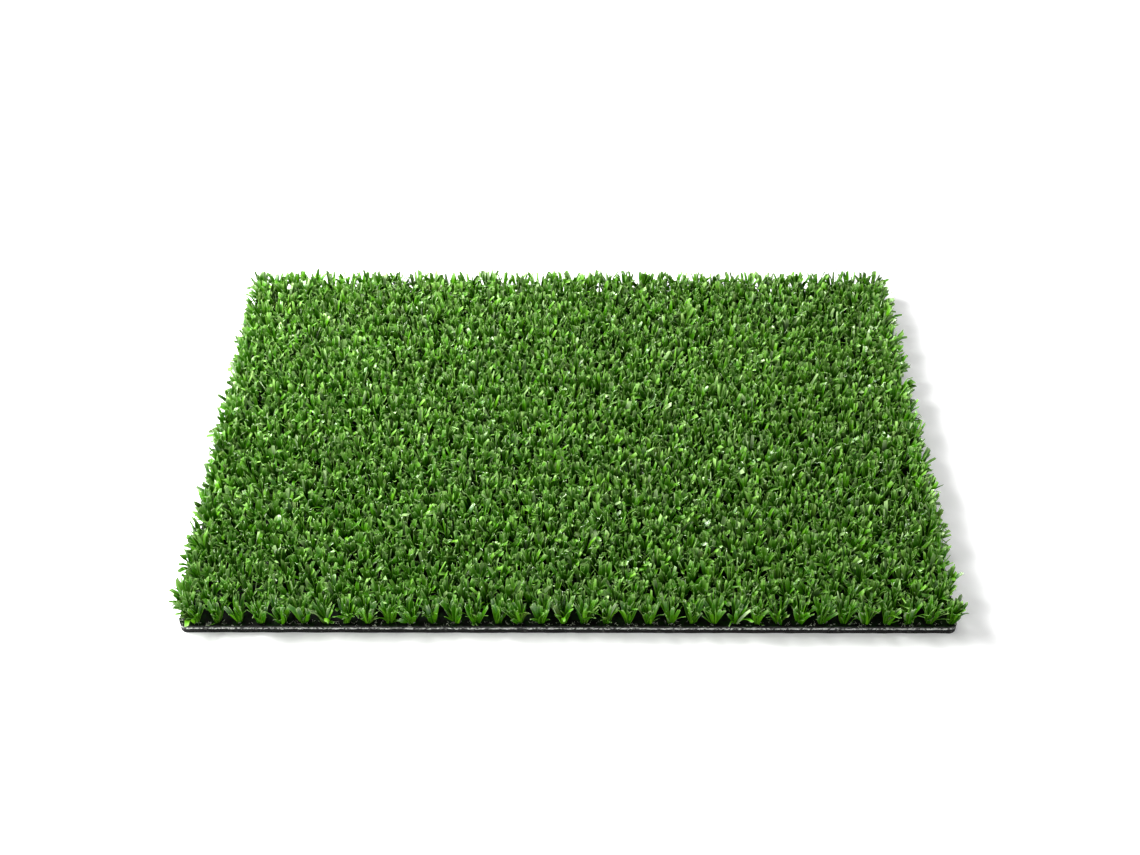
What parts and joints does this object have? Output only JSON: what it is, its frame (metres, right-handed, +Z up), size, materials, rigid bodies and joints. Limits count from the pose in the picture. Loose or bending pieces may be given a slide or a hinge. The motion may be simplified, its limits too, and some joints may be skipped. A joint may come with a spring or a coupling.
{
  "type": "golf hitting mat",
  "caption": "Rectangular golf hitting mat: short cut-pile turf tufted in staggered rows through a woven backing, locked in latex and laminated on fleece and a flat rubber base.",
  "frame": {"origin": "middle of the mat's underside, on the ground it lies on", "axes": "+Z up out of the pile, X along the long side and along the tuft rows, Y across the rows"},
  "size_m": [0.3444, 0.2442, 0.0173],
  "materials": {
    "base_rubber": "matt dense rubber with a cut edge",
    "adhesive": "thin hot-melt film",
    "fleece": "needled polyester fleece, pale grey",
    "latex": "black latex coat",
    "woven_backing": "woven black polypropylene tape",
    "pile_yarn": "glossy green polyethylene tape, cut ends"
  },
  "bodies": {
    "root": {"base_pad": "base_rubber", "adhesive_film": "adhesive", "stabilising_fleece": "fleece", "latex_coat": "latex", "primary_backing": "woven_backing", "tuft_row_01": "pile_yarn", "tuft_row_02": "pile_yarn", "tuft_row_03": "pile_yarn", "tuft_row_04": "pile_yarn", "tuft_row_05": "pile_yarn", "tuft_row_06": "pile_yarn", "tuft_row_07": "pile_yarn", "tuft_row_08": "pile_yarn", "tuft_row_09": "pile_yarn", "tuft_row_10": "pile_yarn", "tuft_row_11": "pile_yarn", "tuft_row_12": "pile_yarn", "tuft_row_13": "pile_yarn", "tuft_row_14": "pile_yarn", "tuft_row_15": "pile_yarn", "tuft_row_16": "pile_yarn", "tuft_row_17": "pile_yarn", "tuft_row_18": "pile_yarn", "tuft_row_19": "pile_yarn", "tuft_row_20": "pile_yarn", "tuft_row_21": "pile_yarn", "tuft_row_22": "pile_yarn", "tuft_row_23": "pile_yarn", "tuft_row_24": "pile_yarn", "tuft_row_25": "pile_yarn", "tuft_row_26": "pile_yarn"}
  },
  "joints": []
}
